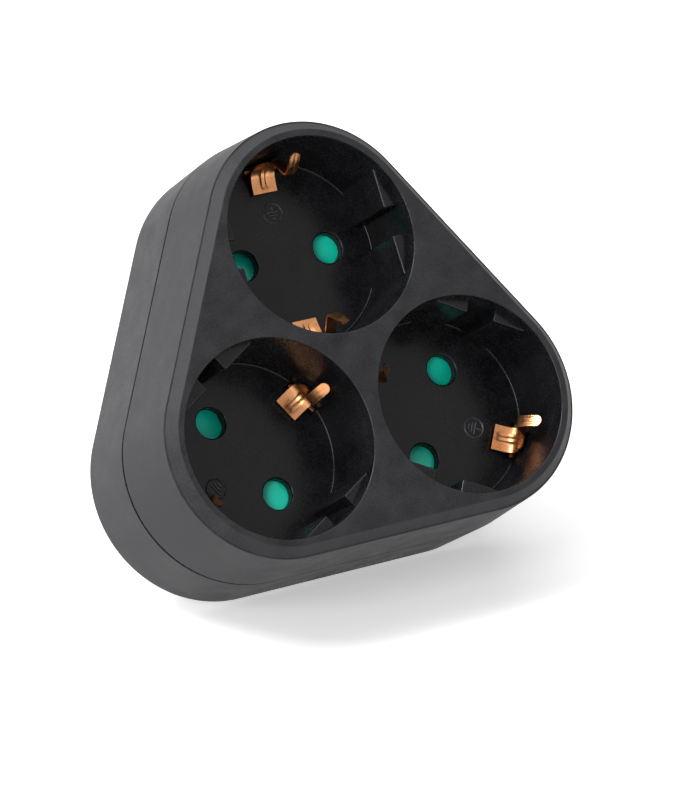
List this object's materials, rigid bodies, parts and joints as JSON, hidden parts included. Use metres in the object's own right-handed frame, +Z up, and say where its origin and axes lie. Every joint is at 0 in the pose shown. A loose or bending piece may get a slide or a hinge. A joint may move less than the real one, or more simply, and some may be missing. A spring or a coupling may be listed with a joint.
{
  "type": "triple socket adapter",
  "caption": "Plug-in adapter: earthed two-pin sockets with shutters at the corners of a rounded triangular black casing, and an earthed plug at the back.",
  "frame": {"origin": "middle of the plug's end face, which rests on the floor of the wall socket", "axes": "+Y along the plug's pins into the wall, +Z up to the top socket, the three sockets face -Y"},
  "size_m": [0.0914, 0.0747, 0.0857],
  "materials": {
    "casing": "fine matt moulded black, slightly worn shine",
    "inner_moulding": "plain black moulding",
    "shutter": "smooth green moulding",
    "contact_bronze": "bright stamped phosphor bronze",
    "brass_sheet": "plain stamped brass",
    "nickel_plate": "bright nickel plate on brass",
    "screw_steel": "zinc-plated steel",
    "spring_steel": "spring wire"
  },
  "bodies": {
    "casing": {"case_screw_opposite_left": "screw_steel", "case_screw_opposite_right": "screw_steel", "case_screw_opposite_top": "screw_steel", "earth_contact_left": "contact_bronze", "earth_contact_right": "contact_bronze", "earth_contact_top": "contact_bronze", "earth_plate": "brass_sheet", "front_cover": "casing", "live_busbar": "brass_sheet", "live_plug_pin": "nickel_plate", "live_sleeve_left": "brass_sheet", "live_sleeve_right": "brass_sheet", "live_sleeve_top": "brass_sheet", "neutral_busbar": "brass_sheet", "neutral_plug_pin": "nickel_plate", "neutral_sleeve_left": "brass_sheet", "neutral_sleeve_right": "brass_sheet", "neutral_sleeve_top": "brass_sheet", "plug_earth_strip_left": "nickel_plate", "plug_earth_strip_right": "nickel_plate", "rear_cover": "casing", "shutter_retainer_left": "inner_moulding", "shutter_retainer_right": "inner_moulding", "shutter_retainer_top": "inner_moulding", "shutter_spring_left": "spring_steel", "shutter_spring_right": "spring_steel", "shutter_spring_top": "spring_steel"},
    "shutter_top": {"shutter_top": "shutter"},
    "shutter_left": {"shutter_left": "shutter"},
    "shutter_right": {"shutter_right": "shutter"}
  },
  "joints": [
    {"name": "shutter_turn_top", "type": "hinge", "parent": "casing", "child": "shutter_top", "pos_m": [0, -0.0364, 0.0246], "axis": [0, -1, 0], "range_deg": [0, 42], "stiffness_Nm_per_rad": 0.002, "springref_deg": -20.05},
    {"name": "shutter_turn_left", "type": "hinge", "parent": "casing", "child": "shutter_left", "pos_m": [-0.0213, -0.0364, -0.0123], "axis": [0, -1, 0], "range_deg": [0, 42], "stiffness_Nm_per_rad": 0.002, "springref_deg": -20.05},
    {"name": "shutter_turn_right", "type": "hinge", "parent": "casing", "child": "shutter_right", "pos_m": [0.0213, -0.0364, -0.0123], "axis": [0, -1, 0], "range_deg": [0, 42], "stiffness_Nm_per_rad": 0.002, "springref_deg": -20.05}
  ]
}
